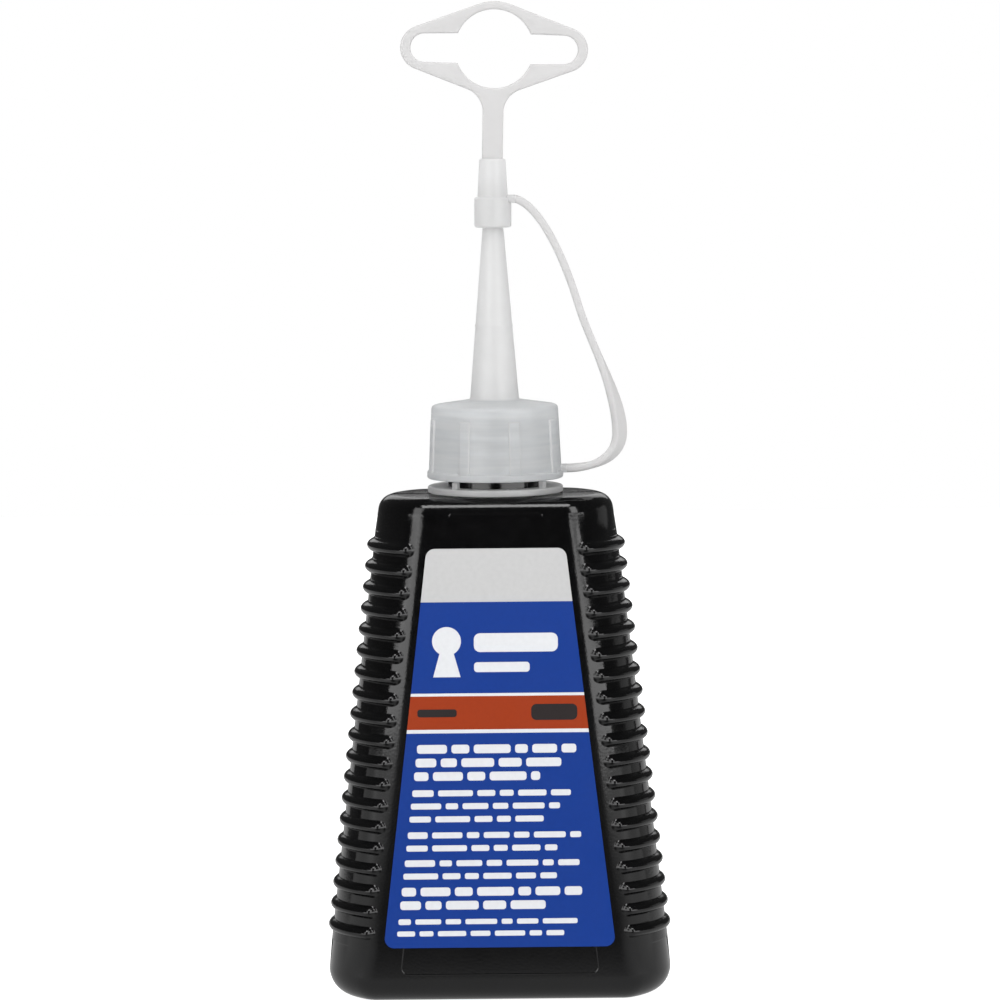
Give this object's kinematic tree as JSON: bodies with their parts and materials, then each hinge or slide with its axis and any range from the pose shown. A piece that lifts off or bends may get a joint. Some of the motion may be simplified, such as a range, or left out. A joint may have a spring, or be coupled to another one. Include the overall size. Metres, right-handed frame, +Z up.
{
  "type": "graphite lubricant squeeze bottle",
  "caption": "Flat tapered squeeze bottle with ribbed sides, a screw cap drawn out into a long nozzle, and a strapped tip closure with a hang tab.",
  "frame": {"origin": "middle of the base, on the surface that the bottle stands on", "axes": "+Z up along the bottle, the neck and the nozzle, +X to the right as seen from the label, -Y out of the label"},
  "size_m": [0.0664, 0.0288, 0.1912],
  "materials": {
    "black_polyethylene": "glossy black blow-moulded polyethylene",
    "natural_polyethylene": "translucent natural polyethylene with a satin skin",
    "label_sheet": "printed sheet with a satin varnish",
    "graphite": "fine dry dark grey powder"
  },
  "bodies": {
    "bottle": {"bottle": "black_polyethylene", "label": "label_sheet", "graphite_powder": "graphite"},
    "tamper_ring": {"tamper_ring": "natural_polyethylene"},
    "spout_cap": {"spout_cap": "natural_polyethylene", "strap": "natural_polyethylene"},
    "tip_closure": {"tip_closure": "natural_polyethylene", "hang_tab": "natural_polyethylene"}
  },
  "joints": [
    {"name": "cap_turn", "type": "hinge", "parent": "bottle", "child": "tamper_ring", "pos_m": [0, 0, 0.098], "axis": [0, 0, 1], "range_deg": [0, 1080]},
    {"name": "cap_rise", "type": "slide", "parent": "tamper_ring", "child": "spout_cap", "axis": [0, 0, 1], "range_m": [0, 0.0091]},
    {"name": "closure_pull", "type": "slide", "parent": "spout_cap", "child": "tip_closure", "axis": [0, 0, 1], "range_m": [0, 0.012], "deforming": ["strap"]}
  ],
  "couplings": [
    {"joint": "cap_rise", "follows": "cap_turn", "m_per_rad": 0.00047746}
  ]
}
